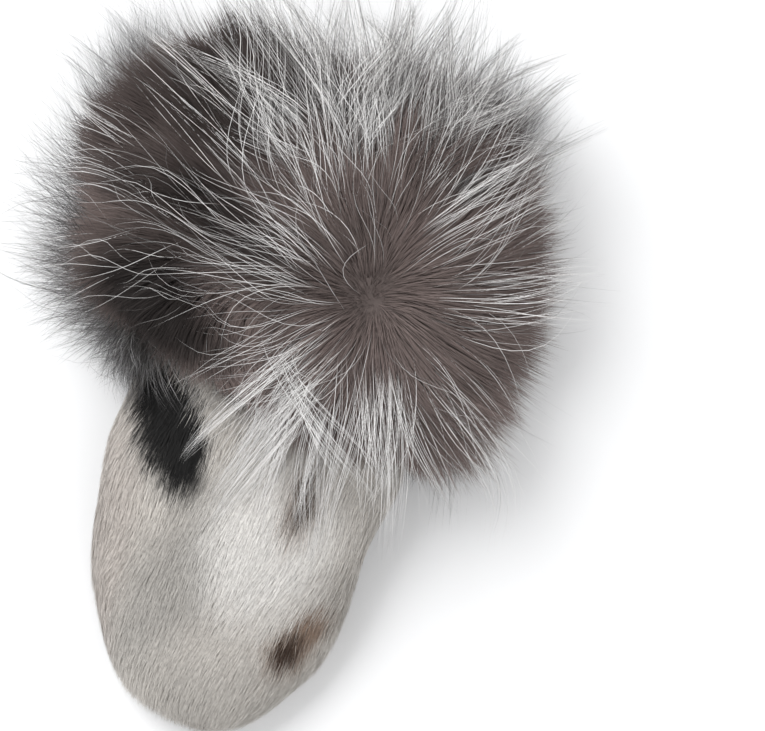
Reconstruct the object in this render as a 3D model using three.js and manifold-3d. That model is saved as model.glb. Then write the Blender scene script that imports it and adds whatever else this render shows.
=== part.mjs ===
// Fur mitten for the right hand, in millimetres, +Z up, lying palm down on the floor.
// +Y runs from the fingertips to the open cuff, and +X is the thumb's side.
// The origin is on the floor, in the middle of the flat patch that the palm rests on.
// A short-haired hide covers the back and rolls under to the seam of a leather palm, a hollow
// leather thumb is set into the palm, and a band of fox fur stands round the wrist.
import * as THREE from "three";
import Module from "manifold-3d";

// Body, measured over the short fur
const BODY_LENGTH = 170; // from the fingertips to the seam with the cuff
const BODY_HALF_WIDTH = 63; // at its widest
const CROWN_HEIGHT = 25; // from the widest line of a section up to its top
const SIDE_HEIGHT = 12; // from the palm up to the widest line
const REST_FROM_TIP = 28; // from the fingertips to the origin
const SQUARENESS = 0.78; // 1 makes an elliptical section, and less a fuller one

// Walls and seams
const FUR_WALL = 5; // hide with its short, flat pile
const LEATHER_WALL = 1.5;
const SEAM_GAP = 0.3; // clearance between pieces that are sewn together
const SEAM_INSET = 7; // from the outline in to the palm's seam, where the fur rolls under
const SEAM_RISE = 2.4; // how far the palm's edge curls up from the floor
const FUR_EDGE_RISE = 1.2; // how far the rolled fur stays above the palm's lowest level
const EDGE_ROLL = 9; // width of the palm's curled border
const BEAD = 0.9; // extra leather in the turned edge, below and above
const BEAD_WIDTH = 4.5;
const FOLD_HEIGHT = 2.6; // of the deepest soft fold in the palm

// Thumb, folded flat across the palm
const THUMB_LENGTH = 88;
const THUMB_HALF_WIDTH = 26;
const THUMB_HEIGHT = 14; // of the part that lies free under the palm
const THUMB_SLACK = 2.5; // between the free part of the thumb and the palm that it holds up
const THUMB_SIDES = 0.42; // how high a section's widest line lies, as a share of its height
const THUMB_TURN = -21; // degrees from +Y, towards the thumb's side of the wrist
const THUMB_ROOT = { x: 0.51, y: 0.95 }; // its end, as shares of the half width and the length

// Cuff
const CUFF_LENGTH = 84; // of the hide band, from the wrist seam to the open rim
const CUFF_HIDE = 2.5;
const RIM_FLARE = 5; // how much wider the rim is than the wrist, on each side
const UNDERFUR_DEPTH = 40; // of the dense fur that stands on the band
const FUR_CLEARANCE = 0.4; // between the cuff's fur and the body under it
const LOCK_LENGTH = 82; // of a lock of long hair, from the hide
const LOCK_WIDTH = 34;
const LOCK_THICKNESS = 15;
const LOCKS_ROUND = 16;
const LOCK_ROWS = 5;
const LOCK_SPREAD = 0.07; // how much longer or shorter than the rest a lock may be, as a share
const ROW_INSET = 0.04; // of the first and last row from the band's ends, as a share
const CROWN_TURN = 46; // degrees from +X over the top to the point that the hair parts round
const CROWN_FROM_WRIST = 30;
const CROWN_SPREAD = 36; // distance from that point at which the hair lies flattest
const CROWN_LENGTH = 0.84; // how short the hair is at that point, as a share
const FLATTEST = 70; // degrees between the flattest hair's tip and the hide's normal
const ROOT_LEAN = 0.45; // how much of a tip's lean its root has
const DROOP = 10; // how far a lock's tip sinks under its own weight

// Sections of the body from the fingertips to the wrist, one row each. along is a share of the
// length, width and lean of the half width, crown of the crown height and lift of the palm's lift.
const SECTIONS = [
  { along: 0.0, width: 0.0, lean: -0.06, crown: 0.0, lift: 0.0 },
  { along: 0.0155, width: 0.246, lean: -0.071, crown: 0.32, lift: 0.0 },
  { along: 0.058, width: 0.464, lean: -0.131, crown: 0.58, lift: 0.0 },
  { along: 0.125, width: 0.631, lean: -0.139, crown: 0.74, lift: 0.0 },
  { along: 0.232, width: 0.796, lean: -0.1135, crown: 0.87, lift: 0.0 },
  { along: 0.38, width: 0.898, lean: -0.123, crown: 0.96, lift: 0.42 },
  { along: 0.54, width: 0.934, lean: -0.1056, crown: 1.0, lift: 0.92 },
  { along: 0.7, width: 1.0, lean: -0.036, crown: 1.0, lift: 1.0 },
  { along: 0.81, width: 0.956, lean: -0.0127, crown: 0.98, lift: 1.0 },
  { along: 1.0, width: 0.87, lean: 0.0, crown: 1.0, lift: 0.94 },
];

// Soft folds of the palm that stand off the floor. x is a share of the half width, y of the
// length from the fingertips, length of the body's length, width of its half width, height of
// the deepest fold, and turn is in degrees from +Y.
const FOLDS = [
  { x: -0.42, y: 0.27, length: 0.3, width: 0.13, height: 0.8, turn: 12 },
  { x: 0.33, y: 0.24, length: 0.3, width: 0.14, height: 1.0, turn: -14 },
  { x: 0.55, y: 0.36, length: 0.26, width: 0.12, height: 0.7, turn: -30 },
  { x: -0.66, y: 0.46, length: 0.3, width: 0.13, height: 0.9, turn: 8 },
  { x: 0.78, y: 0.6, length: 0.3, width: 0.12, height: 0.9, turn: 6 },
  { x: -0.3, y: 0.72, length: 0.34, width: 0.16, height: 0.8, turn: -18 },
];

// Sections of the thumb from its tip to its root. along is a share of its length, width of its
// half width and height of its free height; the root rises through the palm.
const THUMB_SECTIONS = [
  { along: 0.0, width: 0.0, height: 0.36 },
  { along: 0.015, width: 0.24, height: 0.56 },
  { along: 0.06, width: 0.46, height: 0.8 },
  { along: 0.16, width: 0.6, height: 1.0 },
  { along: 0.34, width: 0.7, height: 1.02 },
  { along: 0.5, width: 0.84, height: 1.08 },
  { along: 0.64, width: 0.95, height: 1.75 },
  { along: 0.8, width: 1.0, height: 2.15 },
  { along: 0.93, width: 0.74, height: 2.05 },
  { along: 0.985, width: 0.34, height: 1.9 },
  { along: 1.0, width: 0.0, height: 1.85 },
];

// Outline of the underfur across the band, from the wrist seam round to the rim. along is a
// share of the band's length and out of the underfur's depth.
const UNDERFUR = [
  { along: 0.0, out: 0.17 },
  { along: -0.13, out: 0.2 },
  { along: -0.28, out: 0.31 },
  { along: -0.36, out: 0.47 },
  { along: -0.31, out: 0.66 },
  { along: -0.13, out: 0.84 },
  { along: 0.14, out: 0.96 },
  { along: 0.45, out: 1.0 },
  { along: 0.77, out: 0.98 },
  { along: 1.08, out: 0.89 },
  { along: 1.32, out: 0.71 },
  { along: 1.4, out: 0.49 },
  { along: 1.29, out: 0.28 },
  { along: 1.08, out: 0.19 },
];

// Partings and hollows in the fur, and swells with a depth below zero. turn is in degrees round
// the band from +X over the top, along and length are shares of its length, spread is a half
// width in degrees, and depth a share of the underfur's depth.
const PARTINGS = [
  { turn: 104, along: 0.56, spread: 30, length: 0.36, depth: 0.34 },
  { turn: 150, along: 0.12, spread: 26, length: 0.4, depth: 0.24 },
  { turn: 38, along: 0.86, spread: 22, length: 0.34, depth: 0.2 },
  { turn: 76, along: 1.1, spread: 20, length: 0.3, depth: 0.22 },
  { turn: 12, along: 0.2, spread: 16, length: 0.4, depth: 0.16 },
  { turn: 336, along: 0.1, spread: 50, length: 0.9, depth: -0.26 },
  { turn: 352, along: 0.85, spread: 36, length: 0.5, depth: -0.22 },
  { turn: 136, along: 1.35, spread: 44, length: 0.6, depth: -0.36 },
  { turn: 187, along: 0.55, spread: 42, length: 0.9, depth: -0.26 },
];

// Sections of a lock of hair from its root to its tip, as shares of its length, its width and
// its thickness.
const LOCK_SECTIONS = [
  { along: 0.03, width: 0.6, thickness: 0.9 },
  { along: 0.42, width: 0.95, thickness: 1.0 },
  { along: 0.66, width: 1.0, thickness: 0.75 },
  { along: 0.86, width: 0.7, thickness: 0.45 },
  { along: 1.0, width: 0.0, thickness: 0.0 },
];

const BACK_STEPS = 26; // strips of the back from seam to seam
const SECTION_STEPS = 2; // strips between two rows of a table
const RING_STEPS = 34; // strips round the cuff
const THUMB_STEPS = 16; // strips round the thumb
const SEAM_STEPS = 8; // points of the seam's line between two rows of the body's table
const FAR = 1000; // reach of the blocks that only trim
const WELD = 0.01; // points closer than this are one

// Corners of a lock's section, as shares of half its width and half its thickness.
const LOCK_CORNERS = [
  { across: 1, up: -0.5 },
  { across: 0, up: 1 },
  { across: -1, up: -0.5 },
];

const wasm = await Module();
wasm.setup();

const TIP_Y = -REST_FROM_TIP;
const WRIST_Y = TIP_Y + BODY_LENGTH;
const PALM_LIFT = THUMB_HEIGHT + THUMB_SLACK; // the folded thumb holds the palm off the floor
const lerp = THREE.MathUtils.lerp;
const radians = THREE.MathUtils.degToRad;
const bulge = (value) => Math.sign(value) * Math.abs(value) ** SQUARENESS;
const range = (count) => Array.from({ length: count }, (_, i) => i);

// Collects points that may coincide and triangles that may have collapsed, as at a fingertip.
class Skin {
  points = [];
  triangles = new Map();
  indexOf = new Map();

  vertex(point) {
    const rounded = point.map((value) => Math.round(value / WELD) * WELD);
    const key = rounded.map((value) => value.toFixed(4)).join(",");
    if (!this.indexOf.has(key)) {
      this.indexOf.set(key, this.indexOf.size);
      this.points.push(...rounded);
    }
    return this.indexOf.get(key);
  }

  // Keeps a triangle with three corners of its own, unless it closes up against another.
  triangle(a, b, c) {
    const corners = [a, b, c].map((point) => this.vertex(point));
    if (new Set(corners).size < 3) return;
    const key = [...corners].sort().join(",");
    if (!this.triangles.delete(key)) this.triangles.set(key, corners);
  }

  quad(a, b, c, d) {
    this.triangle(a, b, c);
    this.triangle(a, c, d);
  }

  // The strips between each two neighbouring rows of a grid of points.
  sheet(grid, turned = false) {
    for (let i = 1; i < grid.length; i++)
      for (let j = 1; j < grid[i].length; j++) {
        const corners = [grid[i - 1][j - 1], grid[i][j - 1], grid[i][j], grid[i - 1][j]];
        this.quad(...(turned ? corners.reverse() : corners));
      }
  }

  // Leaves only the shell with the most triangles, without the specks that a cut may cut off.
  keepMain() {
    const parent = range(this.points.length / 3);
    const rootOf = (i) => {
      while (parent[i] !== i) i = parent[i];
      return i;
    };
    const triangles = [...this.triangles];
    for (const [, [a, b, c]] of triangles) {
      parent[rootOf(b)] = rootOf(a);
      parent[rootOf(c)] = rootOf(a);
    }
    const shells = Map.groupBy(triangles, ([, [a]]) => rootOf(a));
    const [main] = [...shells.values()].sort((one, other) => other.length - one.length);
    this.triangles = new Map(main);
    return this;
  }

  solid() {
    return new wasm.Manifold(
      new wasm.Mesh({
        numProp: 3,
        vertProperties: new Float32Array(this.points),
        triVerts: new Uint32Array([...this.triangles.values()].flat()),
      }),
    );
  }

  geometry() {
    const used = new Map();
    const compact = (i) => used.get(i) ?? used.set(i, used.size).get(i);
    const index = [...this.triangles.values()].flat().map(compact);
    const points = [...used.keys()].flatMap((i) => this.points.slice(3 * i, 3 * i + 3));
    const geometry = new THREE.BufferGeometry();
    geometry.setAttribute("position", new THREE.Float32BufferAttribute(points, 3));
    geometry.setIndex(index);
    geometry.computeVertexNormals();
    return geometry;
  }
}

// A wall between two grids that share their first row's line, closed at its sides and its end.
function wallBetween(outside, inside) {
  const skin = new Skin();
  const last = outside.length - 1;
  const side = (j) => [outside.map((row) => row.at(j)), inside.map((row) => row.at(j))];
  skin.sheet(outside);
  skin.sheet(inside, true);
  skin.sheet(side(0));
  skin.sheet(side(-1), true);
  skin.sheet([outside[last], inside[last]]);
  return skin.solid();
}

// A closed form through rings whose first and last have shrunk to a point or a line.
function loft(rings) {
  const skin = new Skin();
  skin.sheet(rings.map((ring) => [...ring, ring[0]]));
  return skin.solid();
}

// The skin of a solid that has been cut or joined, in another frame where a matrix is given.
function skinOf(solid, matrix = new THREE.Matrix4()) {
  const { vertProperties, triVerts } = solid.getMesh();
  const at = (i) => new THREE.Vector3().fromArray(vertProperties, 3 * i).applyMatrix4(matrix).toArray();
  const skin = new Skin();
  for (let i = 0; i < triVerts.length; i += 3)
    skin.triangle(at(triVerts[i]), at(triVerts[i + 1]), at(triVerts[i + 2]));
  return skin;
}
const placed = (solid, matrix) => skinOf(solid, matrix).solid();

// Reads the columns of a table as smooth curves over one shared parameter from 0 to 1.
function smooth(table) {
  const columns = Object.keys(table[0]);
  const curves = columns.map((column) => {
    const points = table.map((row) => new THREE.Vector3(row[column], 0, 0));
    return new THREE.CatmullRomCurve3(points, false, "catmullrom", 0.5);
  });
  return (t) => Object.fromEntries(columns.map((column, i) => [column, curves[i].getPoint(t).x]));
}
const stations = (table, steps = SECTION_STEPS) =>
  range((table.length - 1) * steps + 1).map((i) => i / ((table.length - 1) * steps));

const bodySection = smooth(SECTIONS);
const thumbSection = smooth(THUMB_SECTIONS);

// Real sizes of the body's section at a station, with its outline drawn in by a wall.
function sectionAt(t, wall = 0) {
  const share = bodySection(t);
  const lift = Math.max(0, share.lift) * PALM_LIFT;
  return {
    y: TIP_Y + wall + share.along * (BODY_LENGTH - wall),
    x: share.lean * BODY_HALF_WIDTH,
    halfWidth: share.width * (BODY_HALF_WIDTH - wall),
    side: lift + SIDE_HEIGHT,
    top: lift + SIDE_HEIGHT + share.crown * (CROWN_HEIGHT - wall),
    lift,
  };
}

const wrist = sectionAt(1);

// A point of the back. angle 0 is the top of the section, 90 degrees its widest line, and
// 180 degrees the seam that the fur has rolled under to.
function backPoint(t, angle, wall) {
  const outline = sectionAt(t, wall);
  const side = Math.sign(Math.sin(angle));
  if (Math.abs(angle) <= Math.PI / 2)
    return [
      outline.x + outline.halfWidth * bulge(Math.sin(angle)),
      outline.y,
      lerp(outline.side, outline.top, bulge(Math.cos(angle))),
    ];
  const seam = sectionAt(t, SEAM_INSET);
  const inward = 1 - Math.abs(Math.sin(angle));
  return [
    lerp(outline.x + side * outline.halfWidth, seam.x + side * seam.halfWidth, inward),
    lerp(outline.y, seam.y, inward),
    lerp(outline.side, outline.lift + FUR_EDGE_RISE + wall, -Math.cos(angle)),
  ];
}

function backGrid(wall) {
  const nearSeam = 1e-6; // keeps the two ends of the section apart, one on each side
  const angles = range(BACK_STEPS + 1).map((j) => (0.5 - j / BACK_STEPS) * 2 * (Math.PI - nearSeam));
  return stations(SECTIONS).map((t) => angles.map((angle) => backPoint(t, angle, wall)));
}

// How far a point of the palm lies from the seam that runs round it.
const seamLine = [-1, 1].flatMap((side) =>
  stations(SECTIONS, SEAM_STEPS).map((t) => {
    const seam = sectionAt(t, SEAM_INSET + SEAM_GAP);
    return new THREE.Vector2(seam.x + side * seam.halfWidth, seam.y);
  }),
);
const fromSeam = (x, y) => Math.min(...seamLine.map((point) => Math.hypot(point.x - x, point.y - y)));

// A smooth bump that is exactly nothing beyond its edge.
const bump = (offset, reach) => Math.max(0, 1 - (offset / reach) ** 2) ** 2;

function foldAt(x, y) {
  return Math.max(
    ...FOLDS.map((fold) => {
      const turn = radians(fold.turn);
      const dx = x - fold.x * BODY_HALF_WIDTH;
      const dy = y - TIP_Y - fold.y * BODY_LENGTH;
      const across = dx * Math.cos(turn) + dy * Math.sin(turn);
      const along = dy * Math.cos(turn) - dx * Math.sin(turn);
      return (
        fold.height *
        FOLD_HEIGHT *
        bump(across, fold.width * BODY_HALF_WIDTH) *
        bump(along, (fold.length * BODY_LENGTH) / 2)
      );
    }),
  );
}

// Height of the palm's lower face (face -1) or upper face (face 1) over a point of the floor.
function palmHeight(lift, x, y, face) {
  const inward = fromSeam(x, y);
  const curl = SEAM_RISE * bump(inward, EDGE_ROLL);
  const bead = BEAD * bump(inward - BEAD_WIDTH / 2, BEAD_WIDTH / 2);
  return lift + curl + foldAt(x, y) + (face > 0 ? LEATHER_WALL : 0) + face * bead;
}

// Places across the palm, as shares of its half width, close together at the turned edges.
const ACROSS_PALM = [0, 0.14, 0.28, 0.42, 0.56, 0.69, 0.8, 0.88, 0.925, 0.96, 0.985, 1];
const PALM_PLACES = [...ACROSS_PALM.slice(1).map((share) => -share).reverse(), ...ACROSS_PALM];

function palmGrid(heightOf) {
  return stations(SECTIONS).map((t) => {
    const seam = sectionAt(t, SEAM_INSET + SEAM_GAP);
    return PALM_PLACES.map((share) => {
      const x = seam.x + share * seam.halfWidth;
      return [x, seam.y, heightOf(seam.lift, x, seam.y)];
    });
  });
}

// The whole body with its hollow filled, drawn out by a clearance, for trimming what lies on it.
function bodyEnvelope(clearance) {
  const past = new THREE.Vector3(0, clearance, 0);
  const rings = backGrid(-clearance).map((back, i) => {
    const [right, left] = [back[0], back.at(-1)];
    const floor = Math.min(...back.map((point) => point[2])) - FUR_EDGE_RISE;
    const ring = [...back, [left[0], left[1], floor], [right[0], right[1], floor]];
    const end = i === (SECTIONS.length - 1) * SECTION_STEPS;
    return end ? ring.map((point) => past.clone().add(new THREE.Vector3(...point)).toArray()) : ring;
  });
  const middle = [wrist.x, WRIST_Y + clearance, wrist.side];
  return loft([...rings, rings[0].map(() => middle)]);
}

// The thumb's outside, or its hollow when a wall is given, tip at the origin and root towards +Y.
function thumbForm(wall) {
  return loft(
    stations(THUMB_SECTIONS).map((t) => {
      const share = thumbSection(t);
      const height = share.height * THUMB_HEIGHT;
      return range(THUMB_STEPS).map((j) => {
        const angle = (j / THUMB_STEPS) * 2 * Math.PI;
        const rise = Math.max(0, lerp(THUMB_SIDES, 1, bulge(Math.sin(angle))));
        return [
          share.width * (THUMB_HALF_WIDTH - wall) * bulge(Math.cos(angle)),
          wall + share.along * (THUMB_LENGTH - 2 * wall),
          wall + rise * (height - 2 * wall),
        ];
      });
    }),
  );
}

// The band's inner line at the wrist, taken from the body's hollow, and its flare at the rim.
const HAND_TOP = wrist.top - FUR_WALL;
const HAND_FLOOR = wrist.lift + LEATHER_WALL;
const HAND_HALF_WIDTH = wrist.halfWidth - FUR_WALL;
const HAND_HALF_HEIGHT = (HAND_TOP - HAND_FLOOR) / 2;
const HAND_CENTRE = new THREE.Vector3(0, 0, (HAND_TOP + HAND_FLOOR) / 2);

// A place on the hide band: its point at a distance out from the hand's side, and its normal.
// turn runs round the band from +X over the top, and along is a share of the band's length.
function bandPlace(turn, along, out) {
  const flare = RIM_FLARE * THREE.MathUtils.clamp(along, 0, 1);
  const half = { x: HAND_HALF_WIDTH + flare, z: HAND_HALF_HEIGHT + flare };
  const normal = new THREE.Vector3(
    (Math.sign(Math.cos(turn)) * Math.abs(Math.cos(turn)) ** (2 - SQUARENESS)) / half.x,
    0,
    (Math.sign(Math.sin(turn)) * Math.abs(Math.sin(turn)) ** (2 - SQUARENESS)) / half.z,
  ).normalize();
  const point = new THREE.Vector3(
    half.x * bulge(Math.cos(turn)),
    along * CUFF_LENGTH,
    half.z * bulge(Math.sin(turn)),
  )
    .add(HAND_CENTRE)
    .addScaledVector(normal, out);
  return { point, normal };
}

// How much of the underfur's depth is missing at a place on the band.
function partingAt(turn, along) {
  const missing = PARTINGS.map((parting) => {
    const turned = THREE.MathUtils.radToDeg(turn) - parting.turn;
    const aside = THREE.MathUtils.euclideanModulo(turned + 180, 360) - 180;
    return parting.depth * bump(aside, parting.spread) * bump(along - parting.along, parting.length);
  });
  return missing.reduce((sum, share) => sum + share, 0);
}

// The hollow that the hand passes through, running past both ends of the band.
function handHollow() {
  const ends = [-1, 0, 1, 2];
  const ring = (along) =>
    range(RING_STEPS).map((i) => bandPlace((i / RING_STEPS) * 2 * Math.PI, along, 0).point.toArray());
  const middle = (along) => ring(along).map(() => [0, along * CUFF_LENGTH, HAND_CENTRE.z]);
  return loft([middle(ends[0]), ...ends.map(ring), middle(ends.at(-1))]);
}

// The band and its dense underfur, as a ring round the wrist in the cuff's own frame. Its inner
// side reaches into the hollow, which is then cut out of it with the locks' roots.
function underfurRing() {
  const hide = CUFF_HIDE / UNDERFUR_DEPTH;
  const outline = [
    { along: 0, out: -hide },
    { along: 0, out: hide },
    ...UNDERFUR,
    { along: 1, out: hide },
    { along: 1, out: -hide },
    { along: 0, out: -hide },
  ];
  const skin = new Skin();
  skin.sheet(
    range(RING_STEPS + 1).map((i) => {
      const turn = (1 - i / RING_STEPS) * 2 * Math.PI;
      return outline.map(({ along, out }) => {
        const depth = out * UNDERFUR_DEPTH * (out > hide ? 1 - partingAt(turn, along) : 1);
        return bandPlace(turn, along, depth).point.toArray();
      });
    }),
  );
  return skin.solid();
}

// A lock of hair with a triangular section, closed at its root and pointed at its tip. It leans
// away from the crown, droops under its weight and lies on the floor where it meets it.
function lockForm(turn, along, length) {
  const { point, normal } = bandPlace(turn, along, CUFF_HIDE);
  const crown = bandPlace(radians(CROWN_TURN), CROWN_FROM_WRIST / CUFF_LENGTH, 0).point;
  const away = point.clone().sub(crown);
  const spread = Math.min(1, away.length() / CROWN_SPREAD);
  const lean = spread * radians(FLATTEST);
  const reach = length * lerp(CROWN_LENGTH, 1, spread);
  away.addScaledVector(normal, -away.dot(normal)).normalize();
  const across = new THREE.Vector3().crossVectors(away, normal);
  const place = (share) => {
    const bend = lean * lerp(ROOT_LEAN, 1, share);
    const spot = point
      .clone()
      .addScaledVector(normal, share * reach * Math.cos(bend))
      .addScaledVector(away, share * reach * Math.sin(bend));
    spot.z = Math.max(spot.z - DROOP * share ** 2, LOCK_THICKNESS / 2);
    return spot;
  };
  const rings = LOCK_SECTIONS.map((section) => {
    const middle = place(section.along);
    const ahead = place(section.along + WELD).sub(middle).normalize();
    const thick = new THREE.Vector3().crossVectors(across, ahead).normalize();
    return LOCK_CORNERS.map((corner) =>
      middle
        .clone()
        .addScaledVector(across, (corner.across * section.width * LOCK_WIDTH) / 2)
        .addScaledVector(thick, (corner.up * section.thickness * LOCK_THICKNESS) / 2)
        .toArray(),
    );
  });
  const skin = new Skin();
  skin.sheet(rings.map((ring) => [...ring, ring[0]]));
  skin.triangle(...rings[0]);
  return skin.solid();
}

// Locks stand in staggered rows along the band, each a little longer or shorter than the next.
function lockForms() {
  const wave = (place, row) => Math.sin(2.4 * place + 1.7 * row);
  return range(LOCK_ROWS).flatMap((row) =>
    range(LOCKS_ROUND).map((place) => {
      const turn = ((place + 0.5 * (row % 2)) / LOCKS_ROUND) * 2 * Math.PI;
      const along = lerp(ROW_INSET, 1 - ROW_INSET, row / (LOCK_ROWS - 1));
      return lockForm(turn, along, LOCK_LENGTH * (1 + LOCK_SPREAD * wave(place, row)));
    }),
  );
}

// Everything below the floor, in the cuff's frame.
function belowFloor() {
  const box = new THREE.BoxGeometry(FAR, FAR, FAR).translate(0, CUFF_LENGTH / 2, -FAR / 2);
  const { position } = box.toNonIndexed().attributes;
  const at = (i) => new THREE.Vector3().fromBufferAttribute(position, i).toArray();
  const skin = new Skin();
  for (let i = 0; i < position.count; i += 3) skin.triangle(at(i), at(i + 1), at(i + 2));
  return skin.solid();
}

const fur = new THREE.MeshStandardMaterial({ color: 0xb9b4ac, roughness: 0.85, metalness: 0 });
const leather = new THREE.MeshStandardMaterial({ color: 0x26262a, roughness: 0.45, metalness: 0 });
const foxFur = new THREE.MeshStandardMaterial({ color: 0x6a5f5c, roughness: 0.9, metalness: 0 });

function piece(name, solid, material) {
  const mesh = new THREE.Mesh(skinOf(solid).keepMain().geometry(), material);
  mesh.name = name;
  return mesh;
}

// The thumb's frame starts at its tip, a thumb's length from the end of its root.
const thumb = new THREE.Group();
thumb.rotation.z = radians(THUMB_TURN);
thumb.position
  .set(0, -THUMB_LENGTH, 0)
  .applyEuler(thumb.rotation)
  .add(new THREE.Vector3(THUMB_ROOT.x * BODY_HALF_WIDTH, TIP_Y + THUMB_ROOT.y * BODY_LENGTH, 0));
thumb.updateMatrix();
const toThumb = thumb.matrix.clone().invert();

// The cuff's frame starts at the wrist seam.
const cuff = new THREE.Group();
cuff.position.set(0, WRIST_Y + SEAM_GAP, 0);
cuff.updateMatrix();
const toCuff = cuff.matrix.clone().invert();

const furBack = wallBetween(backGrid(0), backGrid(FUR_WALL));

// The thumb's hollow opens through the palm, and its outside stops under the palm's lower face.
const thumbHollow = thumbForm(LEATHER_WALL);
const palmSheet = wallBetween(
  palmGrid((lift, x, y) => palmHeight(lift, x, y, -1)),
  palmGrid((lift, x, y) => palmHeight(lift, x, y, 1)),
).subtract(placed(thumbHollow, thumb.matrix));
const abovePalm = wallBetween(
  palmGrid((lift, x, y) => palmHeight(lift, x, y, -1) - SEAM_GAP),
  palmGrid(() => FAR),
);
const thumbWall = thumbForm(0).subtract(thumbHollow).subtract(placed(abovePalm, toThumb));

const foxCuff = lockForms()
  .reduce((sum, lock) => sum.add(lock), underfurRing())
  .subtract(handHollow())
  .subtract(placed(bodyEnvelope(FUR_CLEARANCE), toCuff))
  .subtract(placed(thumbForm(-FUR_CLEARANCE), toCuff.clone().multiply(thumb.matrix)))
  .subtract(belowFloor());

thumb.add(piece("leather_thumb", thumbWall, leather));
cuff.add(piece("fox_cuff", foxCuff, foxFur));
const mitten = new THREE.Group();
mitten.add(piece("fur_back", furBack, fur), piece("leather_palm", palmSheet, leather), thumb, cuff);

export default mitten;
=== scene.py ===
"""Fur mitten with a fox cuff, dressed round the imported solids. Metres, +Z up, fingertips at -Y."""
import math

import bpy
import numpy as np
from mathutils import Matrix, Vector
from mathutils.kdtree import KDTree


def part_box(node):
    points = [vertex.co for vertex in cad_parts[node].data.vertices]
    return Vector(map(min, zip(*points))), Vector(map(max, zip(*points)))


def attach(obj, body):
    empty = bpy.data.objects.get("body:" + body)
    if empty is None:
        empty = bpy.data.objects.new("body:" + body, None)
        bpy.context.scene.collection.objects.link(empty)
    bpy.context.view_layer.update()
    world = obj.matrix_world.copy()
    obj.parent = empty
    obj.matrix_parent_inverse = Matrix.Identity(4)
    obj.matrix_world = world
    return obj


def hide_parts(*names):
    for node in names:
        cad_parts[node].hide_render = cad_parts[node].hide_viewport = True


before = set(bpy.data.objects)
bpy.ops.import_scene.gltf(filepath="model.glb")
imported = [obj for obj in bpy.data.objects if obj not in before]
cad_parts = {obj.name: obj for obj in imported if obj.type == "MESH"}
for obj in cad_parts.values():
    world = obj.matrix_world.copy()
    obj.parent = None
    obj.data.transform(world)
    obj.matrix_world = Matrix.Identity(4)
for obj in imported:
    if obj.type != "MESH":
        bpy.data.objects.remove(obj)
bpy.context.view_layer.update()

MM = 0.001

# The photograph's frame, and where the mitten lies in it
PHOTO_WIDTH = 765
PHOTO_HEIGHT = 731
PHOTO_TIP = (203, 729)  # pixel of the middle of the fingertips
TIP_X = -0.003  # where that middle lies
PHOTO_TILT = math.radians(10.5)  # clockwise, from the fingertips to the cuff
PIXELS_PER_METRE = 2300
SHARP_HEIGHT = 0.035  # height over the floor at which that scale holds
CAMERA_HEIGHT = 1.3
SENSOR = 36  # millimetres across

# Sizes of the band under the fox fur, as in the solids
BACK_LOW, BACK_HIGH = (np.array(corner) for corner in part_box("fur_back"))
TIP_Y = BACK_LOW[1]
WRIST_Y = BACK_HIGH[1]
CUFF_LENGTH = 0.084
CUFF_HIDE = 0.0025
RIM_FLARE = 0.005
HAND_HALF_WIDTH = 0.0498
HAND_LOW = 0.017
HAND_HIGH = 0.0475
HAND_MIDDLE = (HAND_HIGH + HAND_LOW) / 2
SQUARENESS = 0.78
UNDERFUR_DEPTH = 0.04
MASS_SHARE = 0.7  # of the underfur's depth that its smooth inner mass fills
CROWN_TURN = math.radians(57)  # the point that the fur parts round
CROWN_ALONG = 0.3
FLOOR_GAP = 0.0006  # hair that meets the floor lies this far over it
FULL_TURN = 2 * math.pi

# Colours, linear
WHITE_HAIR = (0.9, 0.89, 0.88)
WHITE_TIP = (0.4, 0.39, 0.38)
UNDERFUR = (0.22, 0.172, 0.16)
UNDERFUR_DARK = (0.075, 0.06, 0.056)
# Underfur colour darkened as painted shade, for the fur's inner mass
SHADED_MASS_COLOUR = (0.135, 0.108, 0.101)
NEARLY_BLACK = (0.012, 0.011, 0.0105)
PALE_FUR = (0.71, 0.675, 0.63)
# Pale fur lit up, for the painted light of the bright patch
BRIGHT_LIT_FUR = (0.96, 0.94, 0.91)
# Fur greyed for the painted shade of the grey patches
GREY_SHADED_FUR = (0.52, 0.50, 0.47)
ROSY_FUR = (0.64, 0.58, 0.54)
BROWN_SPOT = (0.06, 0.036, 0.025)
RUST = (0.3, 0.2, 0.14)
BLACK_SPOT = (0.005, 0.0045, 0.0045)
LEATHER_DEEP = (0.012, 0.012, 0.0135)
LEATHER_WORN = (0.022, 0.022, 0.024)
FLOOR_COLOUR = (0.93, 0.935, 0.945)


def table(columns, *rows):
    """Rows as dictionaries, by the names of their columns."""
    names = columns.split()
    return [dict(zip(names, row)) for row in rows]


def dot(a, b):
    return np.sum(a * b, axis=-1, keepdims=True)


def unit(vectors):
    return vectors / np.maximum(np.linalg.norm(vectors, axis=-1, keepdims=True), 1e-9)


def mix(a, b, share):
    return a + (b - a) * share


def smooth(low, high, value):
    """A soft step from 0 at low to 1 at high, which may be the smaller of the two."""
    share = np.clip((value - low) / (high - low), 0, 1)
    return share * share * (3 - 2 * share)


def bump(offset, reach):
    return np.clip(1 - (offset / reach) ** 2, 0, None) ** 2


WAVES = 7  # waves in one noise
WAVE_GAIN = 1.6


def waves(points, size, seed):
    """Smooth noise from about -1 to 1 over points, with features of about the given size."""
    rng = np.random.default_rng(seed)
    total = np.zeros(points.shape[:-1])
    for _ in range(WAVES):
        way = unit(rng.normal(size=points.shape[-1])) * rng.uniform(0.7, 1.5) / size
        total += np.sin(points @ way * math.pi + rng.uniform(0, FULL_TURN))
    return total / WAVES * WAVE_GAIN


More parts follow.
